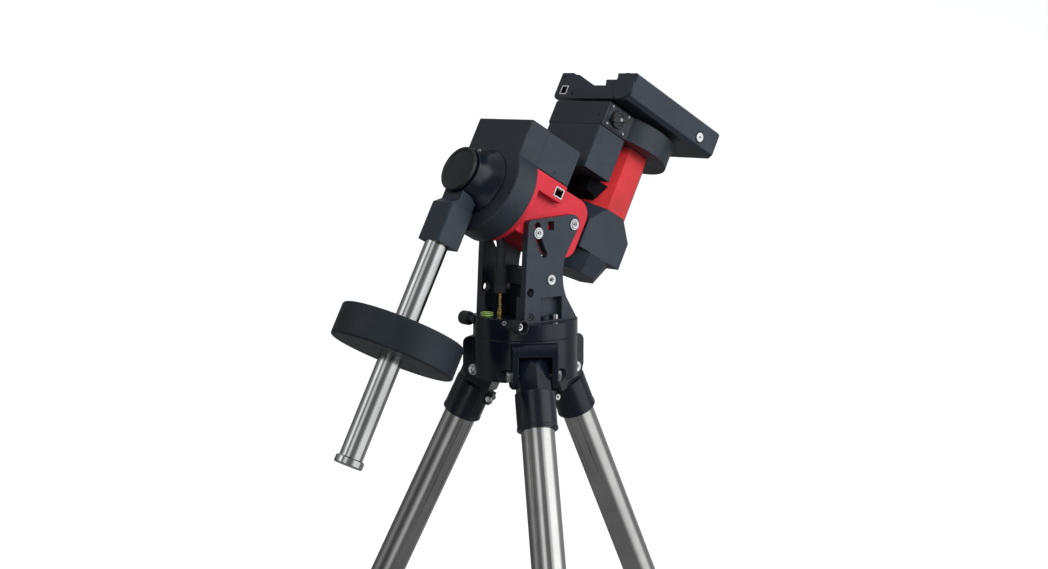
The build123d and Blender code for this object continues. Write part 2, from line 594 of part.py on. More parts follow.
# ---------------------------------------------------------------- declination group, head frame
def dec_knuckle():
    """Black block that joins the polar shaft's flange to the declination column."""
    x0, x1 = DEC_X - COLUMN_HALF, DEC_X + COLUMN_HALF
    body = block(x0, x1, -COLUMN_HALF, COLUMN_HALF, KNUCKLE_WAIST, COLUMN_LOW)
    flat = COLUMN_HALF * tan(radians(22.5))
    for sx in (-1, 1):
        for sy in (-1, 1):
            corner = [(DEC_X + sx * flat, sy * COLUMN_HALF, COLUMN_LOW),
                      (DEC_X + sx * COLUMN_HALF, sy * flat, COLUMN_LOW),
                      (DEC_X + sx * COLUMN_HALF, sy * COLUMN_HALF, COLUMN_LOW - 24),
                      (DEC_X + sx * (COLUMN_HALF + 9), sy * (COLUMN_HALF + 9), COLUMN_LOW + 9)]
            body -= tetrahedron(corner)
    top = octagon_z(COLUMN_HALF, KNUCKLE_WAIST, KNUCKLE_WAIST + 0.01, DEC_X).faces().sort_by(Axis.Z)[-1]
    low = octagon_z(COLUMN_HALF - 9, KNUCKLE_LOW, KNUCKLE_LOW + 0.01, DEC_X).faces().sort_by(Axis.Z)[0]
    body += loft([low, top])
    body -= rod_z(CASTING_BORE - 2, -20, COLUMN_LOW + 1, DEC_X)
    body -= rod_x(WIRE_R, x0 - 1, DEC_X)
    return HEAD * body


def dec_casting():
    """Red octagonal column between the knuckle and the declination drive."""
    column = octagon_z(COLUMN_HALF, COLUMN_LOW, DEC_BACK, DEC_X)
    return HEAD * (column - rod_z(CASTING_BORE, COLUMN_LOW - 1, DEC_BACK + 1, DEC_X))


def dec_shaft():
    """Declination shaft with the flange that carries the saddle."""
    shaft = ring_z(SHAFT_R, WIRE_R, 30, SADDLE_LOW - 8, DEC_X)
    return HEAD * (shaft + ring_z(34, WIRE_R, SADDLE_LOW - 9.5, SADDLE_LOW - 6.5, DEC_X))


def dec_cable_box():
    """Box under the declination motor cover, clear of the polar casting's corners."""
    return HEAD * block(70, DEC_X - MOTOR_LOW, -28, 28, 54, DEC_BACK - MOTOR_DEEP + 1)


def saddle_plate():
    """Dual dovetail saddle with its fixed jaw, its turntable neck and its end stop."""
    channel = [(-42, SADDLE_LOW), (SADDLE_FAR - 3, SADDLE_LOW), (SADDLE_FAR, SADDLE_LOW + 4),
               (SADDLE_FAR, SADDLE_TOP), (40.3, SADDLE_TOP), (42.5, SADDLE_LEDGE),
               (22.9, SADDLE_LEDGE), (25.5, SADDLE_FLOOR), (-42, SADDLE_FLOOR)]
    plate = prism_x(channel, SADDLE_N + 5, SADDLE_S)
    end = [(-42, SADDLE_LOW), (SADDLE_FAR - 3, SADDLE_LOW), (SADDLE_FAR, SADDLE_LOW + 4),
           (SADDLE_FAR, SADDLE_TOP), (46, SADDLE_TOP), (0, SADDLE_FLOOR - 0.5), (-42, SADDLE_FLOOR - 0.5)]
    plate += prism_x(end, SADDLE_N, SADDLE_N + 5)
    plate += rod_z(37.8, SADDLE_LOW - 6.4, SADDLE_LOW + 0.5, DEC_X)
    plate += rod_z(41.5, SADDLE_LOW - 5.8, SADDLE_LOW + 0.5, DEC_X)
    plate -= rod_z(WIRE_R, SADDLE_LOW - 7, SADDLE_LOW + 6, DEC_X)
    plate -= rod_y(CLAMP_R + RUN, -43, SADDLE_FAR + 1, CLAMP_X, CLAMP_Z)
    plate -= block(SADDLE_N - 1, SADDLE_N + 4, 46, 58, 171, 183)
    plate -= rod_x(JAW_END_R + 0.3, SADDLE_N - 1, SADDLE_N + 3, JAW_END_Y, JAW_END_Z)
    return HEAD * plate


def saddle_jaw():
    """Moving jaw on the near side, with a rounded north end and its fixed clamp stud."""
    outline = [(-42.3, SADDLE_LOW), (-66, SADDLE_LOW), (SADDLE_NEAR, SADDLE_LOW + 5),
               (SADDLE_NEAR, SADDLE_TOP - 3), (-67, SADDLE_TOP), (-33.8, SADDLE_TOP),
               (-36, SADDLE_LEDGE), (-16.4, SADDLE_LEDGE), (-19, SADDLE_FLOOR + 0.3),
               (-42.3, SADDLE_FLOOR + 0.3)]
    jaw = prism_x(outline, SADDLE_N + 2, SADDLE_S)
    jaw += rod_x(JAW_END_R, SADDLE_N, SADDLE_N + 2.5, JAW_END_Y, JAW_END_Z)
    jaw -= rod_y(7.4, SADDLE_NEAR - 1, -60, CLAMP_X, CLAMP_Z)
    jaw += rod_y(CLAMP_R, -61, SADDLE_FAR + 15, CLAMP_X, CLAMP_Z)
    jaw += rod_y(5.2, SADDLE_NEAR - 0.6, -59, CLAMP_X, CLAMP_Z)
    return HEAD * jaw


def saddle_knob():
    """Clamp nut with a lobed grip on the saddle's far side."""
    knob = rod_y(16, SADDLE_FAR + 2, SADDLE_FAR + 17, CLAMP_X, CLAMP_Z)
    for i in range(6):
        groove = Pos(CLAMP_X, SADDLE_FAR + 9, CLAMP_Z) * Rot(0, 60 * i, 0) * Pos(19.5, 0, 0)
        knob -= groove * Rot(90, 0, 0) * Cylinder(6.5, 20)
    knob += rod_y(8, SADDLE_FAR + 0.1, SADDLE_FAR + 3, CLAMP_X, CLAMP_Z)
    return HEAD * (knob - rod_y(CLAMP_R + RUN, SADDLE_FAR, SADDLE_FAR + 18, CLAMP_X, CLAMP_Z))


# ---------------------------------------------------------------- all nodes
def all_parts():
    parts = {
        "tripod_hub": tripod_hub(),
        "mount_bolt": mount_bolt(),
        "leg_pivot_bolts": leg_pivot_bolts(),
        "azimuth_base": azimuth_base(),
        "fork_plate_near": fork_plate(-1),
        "fork_plate_far": fork_plate(1),
        "fork_cross_bar": fork_cross_bar(),
        "fork_screws": fork_screws(),
        "bubble_level": bubble_level(),
        "azimuth_screws": azimuth_screws(),
        "azimuth_knobs": azimuth_knobs(),
        "altitude_screw": altitude_screw(),
        "altitude_plunger": altitude_plunger(),
        "altitude_knob": altitude_knob(),
        "ra_casting": ra_casting(),
        "altitude_bolts": altitude_bolts(),
        "ra_port_box": ra_port_box(),
        "ra_shaft": ra_shaft(),
        "ra_nose": ra_nose(),
        "polar_cap": polar_cap(),
        "cw_block": cw_block(),
        "cw_shaft": cw_shaft(),
        "cw_end_stop": cw_end_stop(),
        "counterweight": counterweight(),
        "cw_lock_screw": cw_lock_screw(),
        "dec_knuckle": dec_knuckle(),
        "dec_casting": dec_casting(),
        "dec_shaft": dec_shaft(),
        "saddle_plate": saddle_plate(),
        "saddle_jaw": saddle_jaw(),
        "saddle_knob": saddle_knob(),
        "ra_bearings": RA_UNIT * bearings(-20, -108),
        "dec_bearings": DEC_UNIT * bearings(-20, -80),
    }
    unit_parts = {"gear_housing": gear_housing_with_switch(), "motor_cover": motor_cover(),
                  "motor": motor(), "worm": worm(), "worm_wheel": worm_wheel(),
                  "gear_switch": gear_switch()}
    for name, solid in unit_parts.items():
        parts["ra_" + name] = RA_UNIT * solid
        parts["dec_" + name] = DEC_UNIT * solid
    parts["dec_motor_cover"] += dec_cable_box()
    leg_parts = {"leg_sleeve": leg_sleeve, "leg_tube": leg_tube, "leg_inner_tube": leg_inner_tube,
                 "leg_collar": leg_collar, "leg_foot": leg_foot}
    for name, make in leg_parts.items():
        for number, angle in enumerate(LEG_ANGLES, start=1):
            parts[f"{name}_{number}"] = make(angle)
    return parts


def main():
    os.makedirs("parts", exist_ok=True)
    for name, solid in all_parts().items():
        export_step(solid, f"parts/{name}.step")


main()
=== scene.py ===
from math import cos, pi, radians, sin

import bmesh
import bpy
from mathutils import Matrix, Vector


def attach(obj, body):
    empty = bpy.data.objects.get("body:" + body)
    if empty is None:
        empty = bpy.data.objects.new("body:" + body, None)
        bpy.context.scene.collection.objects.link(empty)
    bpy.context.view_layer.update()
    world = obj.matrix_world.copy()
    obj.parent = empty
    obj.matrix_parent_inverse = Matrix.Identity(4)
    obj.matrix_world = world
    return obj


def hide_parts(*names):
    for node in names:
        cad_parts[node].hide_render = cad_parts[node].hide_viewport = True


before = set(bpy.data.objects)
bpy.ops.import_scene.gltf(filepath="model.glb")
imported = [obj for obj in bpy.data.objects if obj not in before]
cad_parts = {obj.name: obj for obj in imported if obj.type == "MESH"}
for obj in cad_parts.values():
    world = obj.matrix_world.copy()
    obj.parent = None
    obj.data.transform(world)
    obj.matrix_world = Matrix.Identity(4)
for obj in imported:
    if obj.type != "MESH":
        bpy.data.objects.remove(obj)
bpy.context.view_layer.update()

# ---------------------------------------------------------------- dimensions of the CAD part, in mm
MM = 0.001
HUB_Z = 640.0                # base frame above the floor
LATITUDE = 27.7              # tilt of the polar axis, degrees
POLAR_X, POLAR_Z = -15.8, 799.7   # head frame's origin
RA_UNIT_X = -29.0            # polar drive unit along the polar axis
DEC_X, DEC_UNIT_Z = 123.5, 128.0  # declination axis, and its drive unit along it
UNIT_HALF = 49.4             # half width of a drive unit
UNIT_TOP = 83.3              # drive unit's axis to its motor end
UNIT_T = 31.0                # drive unit thickness
FORK_OUT = 45.8              # outer face of a fork plate
FORK_PLATE_Y = 41.0          # middle of a fork plate
PIVOT = (38.0, 134.6)        # altitude pivot in the base frame
LOCK_RADIUS, LOCK_DROP = 57.1, 7.3   # lock bolt: distance from the pivot, degrees below level
BAR_X, BAR_Z = 1.5, 70.4     # cross bar's bolts
PLUG_X, PLUG_Z = -30.2, 28.0      # plugged hole in each fork plate
FOOT_SCREW_X, FOOT_SCREW_Z = (-4.0, 12.0), 22.1
AZ_SCREW_X, AZ_SCREW_Y, AZ_SCREW_Z = -51.0, 43.6, 19.0
LEVEL_X, LEVEL_Y, LEVEL_Z = -47.0, 16.0, 26.0
JACK_X = -39.0
CLAMP_X, CLAMP_Z = 179.5, 180.0   # saddle clamp in the head frame
SADDLE_N, SADDLE_NEAR, SADDLE_FAR = 46.5, -70.5, 67.0
LEG_ANGLES = (0, 120, 240)
LEG_LEAN = 25.8
LEG_PIVOT_R, LEG_PIVOT_Z = 55.5, -42.3
HINGE_FACE = 27.6            # under the heads of the hinge bolts


# ---------------------------------------------------------------- frames, in metres
def shift(x, y, z):
    """Move by millimetres."""
    return Matrix.Translation((x * MM, y * MM, z * MM))


def turn(degrees, axis):
    """Turn about one axis."""
    return Matrix.Rotation(radians(degrees), 4, axis)


BASE = shift(0, 0, HUB_Z)
HEAD = shift(POLAR_X, 0, POLAR_Z) @ turn(LATITUDE, "Y")
RA_UNIT = HEAD @ shift(RA_UNIT_X, 0, 0) @ turn(-90, "Y")
DEC_UNIT = HEAD @ shift(DEC_X, 0, DEC_UNIT_Z) @ turn(180, "Z")
FACE_NEAR = turn(90, "X")          # local +z points to -Y
FACE_FAR = turn(-90, "X")          # local +z points to +Y
FACE_NORTH = turn(-90, "Y")        # local +z points to -X
SIDES = ((-1, FACE_NEAR), (1, FACE_FAR))


def leg_frame(angle):
    """Frame of one spread leg: origin on its hinge pin, -z down the leg."""
    return BASE @ turn(angle, "Z") @ shift(LEG_PIVOT_R, 0, LEG_PIVOT_Z) @ turn(-LEG_LEAN, "Y")


# ---------------------------------------------------------------- node helpers
class Graph:
    """A node tree under construction, with short calls for its nodes and links."""

    def __init__(self, tree):
        self.tree = tree

    def node(self, kind, **values):
        """New node; values set its inputs, or else its properties."""
        made = self.tree.nodes.new(kind)
        for key, value in values.items():
            if key in made.inputs:
                made.inputs[key].default_value = value
            else:
                setattr(made, key, value)
        return made

    def link(self, out, into):
        """Join an output to an input."""
        self.tree.links.new(out, into)

    def remap(self, value, low, high, to_low, to_high, interpolation="LINEAR"):
        """Value mapped from one range onto another, clamped."""
        made = self.node("ShaderNodeMapRange", interpolation_type=interpolation)
        limits = (("From Min", low), ("From Max", high), ("To Min", to_low), ("To Max", to_high))
        for key, number in limits:
            made.inputs[key].default_value = number
        self.link(value, made.inputs["Value"])
        return made.outputs["Result"]

    def math(self, operation, *values):
        """Result of a sum on numbers and outputs."""
        made = self.node("ShaderNodeMath", operation=operation)
        for socket, value in zip(made.inputs, values):
            if isinstance(value, (int, float)):
                socket.default_value = value
            else:
                self.link(value, socket)
        return made.outputs["Value"]

    def mix(self, factor, first, second):
        """Blend of two colours, each a tuple or an output."""
        made = self.node("ShaderNodeMix", data_type="RGBA")
        self.link(factor, made.inputs["Factor"])
        for socket, value in ((made.inputs[6], first), (made.inputs[7], second)):
            if isinstance(value, tuple):
                socket.default_value = (*value[:3], 1.0)
            else:
                self.link(value, socket)
        return made.outputs[2]


class Nodes(Graph):
    """A surface material under construction."""

    def __init__(self, name):
        self.material = bpy.data.materials.new(name)
        self.material.use_nodes = True
        super().__init__(self.material.node_tree)
        self.shader = self.tree.nodes["Principled BSDF"]
        self.coords = self.tree.nodes.new("ShaderNodeTexCoord").outputs["Object"]

    def set(self, **values):
        """Set the shader's own sockets; underscores stand for spaces."""
        for key, value in values.items():
            self.shader.inputs[key.replace("_", " ")].default_value = value

    def noise(self, scale, detail=3.0, coords=None, roughness=0.55):
        """Noise over the object's own coordinates, or over the ones given."""
        made = self.node("ShaderNodeTexNoise", Scale=scale, Detail=detail, Roughness=roughness)
        self.link(coords or self.coords, made.inputs["Vector"])
        return made.outputs["Fac"]

    def roughness(self, scale, detail, low, high):
        """Drive the shader's roughness by noise between two values."""
        self.link(self.remap(self.noise(scale, detail), 0.3, 0.7, low, high), self.shader.inputs["Roughness"])

    def soft_edges(self, radius, grain, strength, distance):
        """Rounded edges in the shading, with a fine bump over them; returns an edge mask."""
        rounded = self.node("ShaderNodeBevel", samples=4, Radius=radius)
        bump = self.node("ShaderNodeBump", Strength=strength, Distance=distance)
        self.link(grain, bump.inputs["Height"])
        self.link(rounded.outputs["Normal"], bump.inputs["Normal"])
        self.link(bump.outputs["Normal"], self.shader.inputs["Normal"])
        flat = self.node("ShaderNodeNewGeometry").outputs["True Normal"]
        dot = self.node("ShaderNodeVectorMath", operation="DOT_PRODUCT")
        self.link(rounded.outputs["Normal"], dot.inputs[0])
        self.link(flat, dot.inputs[1])
        return self.remap(dot.outputs["Value"], 0.99, 0.85, 0.0, 1.0)

    def stretched(self, matrix, scale):
        """Coordinates turned into a frame and scaled along its axes."""
        turned = self.node("ShaderNodeMapping", vector_type="POINT")
        turned.inputs["Rotation"].default_value = matrix.to_3x3().inverted().to_euler()
        self.link(self.coords, turned.inputs["Vector"])
        scaled = self.node("ShaderNodeMapping", vector_type="POINT")
        scaled.inputs["Scale"].default_value = scale
        self.link(turned.outputs["Vector"], scaled.inputs["Vector"])
        return scaled.outputs["Vector"]


# ---------------------------------------------------------------- materials
def coated(name, colour, roughness, rubbed_and_lit_edge_tint, metallic=0.0, grain_scale=1400.0, grain=0.10, rub_and_highlight=0.5,
           specular=0.5, edge_radius=0.0012):
    """Painted or anodised metal: fine grain, cloudy tone, and lighter edges, partly rubbed and partly a
    painted highlight.
    """
    m = Nodes(name)
    m.set(Metallic=metallic)
    m.shader.inputs["Specular IOR Level"].default_value = specular
    edges = m.soft_edges(edge_radius, m.noise(grain_scale, 2.0), grain, 0.0002)
    clouds = m.noise(22.0, 4.0)
    dark = tuple(c * 0.82 for c in colour)
    light = tuple(min(1.0, c * 1.18) for c in colour)
    tone = m.mix(m.remap(clouds, 0.3, 0.7, 0.0, 1.0), dark, light)
    edge_patches = m.remap(m.noise(160.0, 5.0), 0.45, 0.68, 0.1, 1.0)
    # Lightened edges: partly rubbed paint, partly a painted highlight along every edge.
    rubbed_and_lit_edges = m.math("MULTIPLY", m.math("MULTIPLY", edges, edge_patches), rub_and_highlight)
    m.link(m.mix(rubbed_and_lit_edges, tone, rubbed_and_lit_edge_tint), m.shader.inputs["Base Color"])
    m.roughness(60.0, 6.0, roughness - 0.06, roughness + 0.07)
    return m.material


def bare_metal(name, colour, roughness, frame_matrix=None, streak=(500.0, 500.0, 2.0), bump=0.06):
    """Turned or ground metal with fine machining lines along the frame's z axis."""
    m = Nodes(name)
    m.set(Metallic=1.0)
    lines = m.noise(1.0, 3.0, m.stretched(frame_matrix or Matrix.Identity(4), streak))
    m.soft_edges(0.0004, lines, bump, 0.0001)
    stain = m.noise(18.0, 5.0)
    darker = tuple(c * 0.8 for c in colour)
    m.link(m.mix(m.remap(stain, 0.35, 0.7, 0.0, 1.0), colour, darker), m.shader.inputs["Base Color"])
    spread = m.math("ADD", m.remap(lines, 0.3, 0.7, roughness - 0.05, roughness + 0.06),
                    m.remap(m.noise(9.0, 4.0), 0.3, 0.7, -0.02, 0.03))
    m.link(spread, m.shader.inputs["Roughness"])
    return m.material


def moulded(name, colour, roughness, grain_scale=700.0, bump=0.15):
    """Moulded plastic or rubber with a fine texture."""
    m = Nodes(name)
    m.soft_edges(0.0006, m.noise(grain_scale, 2.0), bump, 0.0003)
    light = tuple(min(1.0, c * 1.5 + 0.004) for c in colour)
    patches = m.remap(m.noise(35.0, 4.0), 0.3, 0.75, 0.0, 1.0)
    m.link(m.mix(patches, colour, light), m.shader.inputs["Base Color"])
    m.roughness(120.0, 4.0, roughness - 0.05, roughness + 0.08)
    return m.material


def vial_fluid(name, dark, light):
    """Yellow-green level fluid behind a clear window."""
    m = Nodes(name)
    m.set(Roughness=0.08)
    m.shader.inputs["Coat Weight"].default_value = 1.0
    m.shader.inputs["Coat Roughness"].default_value = 0.03
    swirl = m.remap(m.noise(240.0, 2.0), 0.3, 0.7, 0.0, 1.0)
    m.link(m.mix(swirl, dark, light), m.shader.inputs["Base Color"])
    return m.material


# coated: name, colour, roughness, colour of the lighter edges (rubbed paint and painted highlight)
BLACK = coated("black_anodised_coat", (0.022, 0.030, 0.041), 0.42, (0.13, 0.14, 0.16))
HUB_PAINT = coated("black_gloss_coat", (0.005, 0.008, 0.014), 0.20, (0.10, 0.11, 0.13),
                   grain=0.03, rub_and_highlight=0.3, edge_radius=0.0018)
PAINT = coated("black_powder_coat", (0.020, 0.026, 0.034), 0.42, (0.12, 0.13, 0.15),
               grain_scale=900.0, grain=0.16)
WEIGHT = coated("weight_coat", (0.016, 0.021, 0.027), 0.44, (0.10, 0.11, 0.13),
                grain_scale=800.0, grain=0.2, specular=0.3)
RED = coated("red_anodised_coat", (0.70, 0.022, 0.042), 0.45, (0.80, 0.16, 0.16),
             metallic=0.15, rub_and_highlight=0.35)
COLUMN_RED = coated("red_column_coat", (0.70, 0.030, 0.034), 0.42, (0.80, 0.16, 0.14),
                    metallic=0.15, rub_and_highlight=0.35)
CHROME = bare_metal("chromed_steel", (0.80, 0.80, 0.80), 0.16, streak=(300.0, 300.0, 300.0), bump=0.02)
WASHER = bare_metal("zinc_washer", (0.86, 0.86, 0.87), 0.34, streak=(260.0, 260.0, 260.0))
BRASS = bare_metal("turned_brass", (0.80, 0.56, 0.20), 0.26, streak=(60.0, 60.0, 1500.0))
BRONZE = bare_metal("gear_bronze", (0.62, 0.40, 0.18), 0.34, streak=(400.0, 400.0, 400.0))
SHAFT = bare_metal("ground_steel_shaft", (0.68, 0.67, 0.65), 0.13, HEAD, bump=0.03)
PLASTIC = moulded("black_moulded_plastic", (0.014, 0.015, 0.017), 0.45)
CAP = moulded("cap_plastic", (0.010, 0.011, 0.013), 0.36)
# Near black with almost no sheen: painted shade, for the block under the declination motor cover.
SHADE_BLACK = coated("painted_shade_black", (0.004, 0.004, 0.006), 0.80, (0.010, 0.010, 0.012),
                    specular=0.12)
RUBBER = moulded("foot_rubber", (0.012, 0.012, 0.012), 0.75, 500.0, 0.3)
# Near black, darker than any paint here: painted shade inside holes, socket throats and screw recesses; also
# the dark housing seams.
HOLE_SHADE_AND_SEAM = moulded("painted_hole_shade_and_seam", (0.003, 0.003, 0.004), 0.6)
WHITE = moulded("white_moulded_rim", (0.78, 0.79, 0.80), 0.4)
GOLD = bare_metal("gold_contact", (0.95, 0.70, 0.30), 0.25, streak=(400.0, 400.0, 400.0))
MOTOR = coated("motor_can", (0.03, 0.03, 0.033), 0.4, (0.3, 0.3, 0.3), metallic=0.6)
FLUID = vial_fluid("level_fluid", (0.07, 0.14, 0.02), (0.12, 0.22, 0.03))
VIAL_RIM = vial_fluid("level_vial_rim", (0.40, 0.58, 0.14), (0.55, 0.72, 0.22))
TUBES = [bare_metal(f"leg_stainless_{n}", (0.66, 0.64, 0.61), 0.11, leg_frame(a), bump=0.03)
         for n, a in enumerate(LEG_ANGLES, start=1)]


# ---------------------------------------------------------------- mesh helpers
def add_loops(bm, matrix, loops, close_start=True, close_end=True):
    """Skin a list of equally long rings of (x, y, z) points, in mm."""
    rings = []
    for loop in loops:
        rings.append([bm.verts.new(matrix @ Vector((x * MM, y * MM, z * MM))) for x, y, z in loop])
    count = len(rings[0])
    for low, high in zip(rings, rings[1:]):
        for i in range(count):
            j = (i + 1) % count
            bm.faces.new((low[i], low[j], high[j], high[i]))
    if close_start:
        bm.faces.new(list(reversed(rings[0])))
    if close_end:
        bm.faces.new(rings[-1])


def circle(radius, z, count=48, wave=None):
    """Ring of points; wave(angle) scales the radius."""
    ring = []
    for i in range(count):
        angle = 2 * pi * i / count
        r = radius * (wave(angle) if wave else 1.0)
        ring.append((r * cos(angle), r * sin(angle), z))
    return ring


def hexagon(radius, z, count=48):
    """Ring of points on a hexagon of that corner radius."""
    return circle(radius, z, count, lambda a: cos(pi / 6) / cos((a % (pi / 3)) - pi / 6))


def lathe(bm, matrix, profile, count=48, wave=None):
    """Turned solid from (radius, z) pairs; the first and last rings are closed."""
    add_loops(bm, matrix, [circle(r, z, count, wave) for r, z in profile])


def tube(bm, matrix, outer, inner, z0, z1, bevel=0.3, count=48):
    """Ring with bevelled edges."""
    profile = [(inner, z0 + bevel), (inner + bevel, z0), (outer - bevel, z0), (outer, z0 + bevel),
               (outer, z1 - bevel), (outer - bevel, z1), (inner + bevel, z1), (inner, z1 - bevel),
               (inner, z0 + bevel)]
    add_loops(bm, matrix, [circle(r, z, count) for r, z in profile], False, False)


def screw_head(bm, matrix, radius, height, hex_radius, depth, count=48):
    """Socket screw head standing on local z = 0, with a chamfer and a hexagonal recess."""
    bevel = min(0.6, radius * 0.12)
    recess_top = height - 0.05 * radius
    recess_floor = height - depth
    loops = [circle(radius, 0, count), circle(radius, height - bevel, count),
             circle(radius - bevel, height, count), circle(hex_radius * 1.12, height, count),
             hexagon(hex_radius, recess_top, count), hexagon(hex_radius, recess_floor, count),
             circle(hex_radius * 0.3, recess_floor - 0.3, count)]
    add_loops(bm, matrix, loops)


def slab(bm, matrix, outline, z0, z1, bevel=0.0):
    """Plate from a convex outline, with its top edge bevelled."""
    cx = sum(x for x, _ in outline) / len(outline)
    cy = sum(y for _, y in outline) / len(outline)
    reach = max(abs(x - cx) + abs(y - cy) for x, y in outline)
    shrink = 1 - bevel / reach if bevel else 1
    loops = [[(x, y, z0) for x, y in outline], [(x, y, z1 - bevel) for x, y in outline]]
    if bevel:
        loops.append([(cx + (x - cx) * shrink, cy + (y - cy) * shrink, z1) for x, y in outline])
    add_loops(bm, matrix, loops)


def rounded_rectangle(width, height, radius, steps=5):
    """Outline with round corners, about the origin."""
    points = []
    for cx, cy, start in ((1, 1, 0), (-1, 1, 90), (-1, -1, 180), (1, -1, 270)):
        for i in range(steps + 1):
            angle = radians(start + 90 * i / steps)
            points.append((cx * (width / 2 - radius) + radius * cos(angle),
                           cy * (height / 2 - radius) + radius * sin(angle)))
    return points


def frame_ring(bm, matrix, outer, inner, z0, z1):
    """Flat rim between two outlines with the same number of points."""
    loops = [[(x, y, z0) for x, y in outer], [(x, y, z1) for x, y in outer],
             [(x, y, z1) for x, y in inner], [(x, y, z0) for x, y in inner], [(x, y, z0) for x, y in outer]]
    add_loops(bm, matrix, loops, False, False)


def finish_piece(name, bm, material, body, replaces=()):
    """Turn the mesh into a piece that rides on a body."""
    bmesh.ops.remove_doubles(bm, verts=bm.verts, dist=1e-7)
    bmesh.ops.recalc_face_normals(bm, faces=bm.faces)
    mesh = bpy.data.meshes.new(name)
    bm.to_mesh(mesh)
    bm.free()
    mesh.materials.append(material)
    mesh.shade_smooth()
    mesh.set_sharp_from_angle(angle=radians(32))
    piece = bpy.data.objects.new(name, mesh)
    bpy.context.collection.objects.link(piece)
    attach(piece, body)
    if replaces:
        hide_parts(*replaces)
    return piece


def knurl(count, depth):
    """Radius factor of a grip with rounded grooves."""
    return lambda angle: 1 - depth * (0.5 + 0.5 * cos(count * angle)) ** 2


# ---------------------------------------------------------------- carried-over CAD nodes
NODE_MATERIALS = {
    "tripod_hub": HUB_PAINT, "mount_bolt": BLACK, "leg_pivot_bolts": CHROME, "azimuth_base": HUB_PAINT,
    "fork_plate_near": BLACK, "fork_plate_far": BLACK, "fork_cross_bar": BLACK, "fork_screws": CHROME,
    "azimuth_screws": BLACK, "altitude_screw": BRASS, "altitude_plunger": BLACK, "altitude_knob": PLASTIC,
    "ra_casting": RED, "altitude_bolts": WASHER, "ra_gear_housing": PAINT, "ra_motor_cover": BLACK,
    "ra_port_box": RED, "ra_bearings": CHROME, "ra_worm": CHROME, "ra_motor": MOTOR, "ra_worm_wheel": BRONZE,
    "ra_shaft": SHAFT, "ra_nose": BLACK, "cw_block": BLACK, "cw_shaft": SHAFT, "cw_end_stop": SHAFT,
    "counterweight": WEIGHT, "cw_lock_screw": BLACK, "dec_knuckle": BLACK, "dec_casting": COLUMN_RED,
    "dec_gear_housing": PAINT, "dec_motor_cover": BLACK, "dec_motor": MOTOR, "dec_worm": CHROME,
    "dec_worm_wheel": BRONZE, "dec_bearings": CHROME, "dec_shaft": SHAFT, "saddle_plate": BLACK,
    "saddle_jaw": BLACK, "saddle_knob": PLASTIC, "polar_cap": CAP, "azimuth_knobs": PLASTIC,
    "bubble_level": WHITE, "ra_gear_switch": PLASTIC, "dec_gear_switch": PLASTIC,
}
for number in (1, 2, 3):
    NODE_MATERIALS[f"leg_sleeve_{number}"] = HUB_PAINT
    NODE_MATERIALS[f"leg_tube_{number}"] = TUBES[number - 1]
    NODE_MATERIALS[f"leg_inner_tube_{number}"] = TUBES[number - 1]
    NODE_MATERIALS[f"leg_collar_{number}"] = PLASTIC
    NODE_MATERIALS[f"leg_foot_{number}"] = RUBBER


def paint_nodes():
    """Give every CAD node its material."""
    for name, material in NODE_MATERIALS.items():
        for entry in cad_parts[name].material_slots:
            entry.material = material


# ---------------------------------------------------------------- detail pieces
def socket_insert(name, matrix, width, height, depth, body):
    """Modular cable socket: white rim, throat in near-black painted shade, and a row of contacts; local z = 0
    is the panel.
    """
    outer = rounded_rectangle(width, height, 0.8)
    inner = rounded_rectangle(width - 2.2, height - 2.2, 0.5)
    bm = bmesh.new()
    frame_ring(bm, matrix, outer, inner, -1.2, 0.35)
    finish_piece(name + "_rim", bm, WHITE, body)
    bm = bmesh.new()
    shell = [[(x, y, 0.0) for x, y in inner], [(x, y, -depth) for x, y in inner]]
    add_loops(bm, matrix, shell, False, True)
    finish_piece(name + "_throat", bm, HOLE_SHADE_AND_SEAM, body)
    bm = bmesh.new()
    finger = [(-0.25, -0.4), (0.25, -0.4), (0.25, 0.4), (-0.25, 0.4)]
    for i in range(8):
        x = (i - 3.5) * (width - 5) / 8
        slab(bm, matrix @ shift(x, height / 2 - 2.0, 0), finger, -depth + 0.4, -1.5)
    finish_piece(name + "_contacts", bm, GOLD, body)


def screws(name, places, radius, height, hex_radius, depth, material, body,
           replaces=()):
    """A set of socket screw heads on one body."""
    bm = bmesh.new()
    for place in places:
        screw_head(bm, place, radius, height, hex_radius, depth)
    return finish_piece(name, bm, material, body, replaces)


def altitude_fasteners():
    """Pivot and lock bolts on both fork plates, each with its washer."""
    angle = radians(180 + LOCK_DROP)
    lock = (PIVOT[0] + LOCK_RADIUS * cos(angle), PIVOT[1] + LOCK_RADIUS * sin(angle))
    washers, shanks, heads = bmesh.new(), bmesh.new(), []
    for side, face in SIDES:
        for x, z in (PIVOT, lock):
            place = BASE @ shift(x, side * (FORK_OUT + 0.1), z) @ face
            tube(washers, place, 6.9, 3.9, 0, 1.4)
            heads.append(place @ shift(0, 0, 0.4))
            low, high = sorted((side * 31.0, side * FORK_OUT))
            lathe(shanks, BASE @ shift(x, low, z) @ FACE_FAR, [(3.4, 0), (3.4, high - low)])
    finish_piece("altitude_washers", washers, WASHER, "polar_housing")
    screws("altitude_bolt_heads", heads, 5.2, 1.9, 2.9, 1.6, WASHER, "polar_housing",
           replaces=("altitude_bolts",))
    finish_piece("altitude_bolt_shanks", shanks, CHROME, "polar_housing")


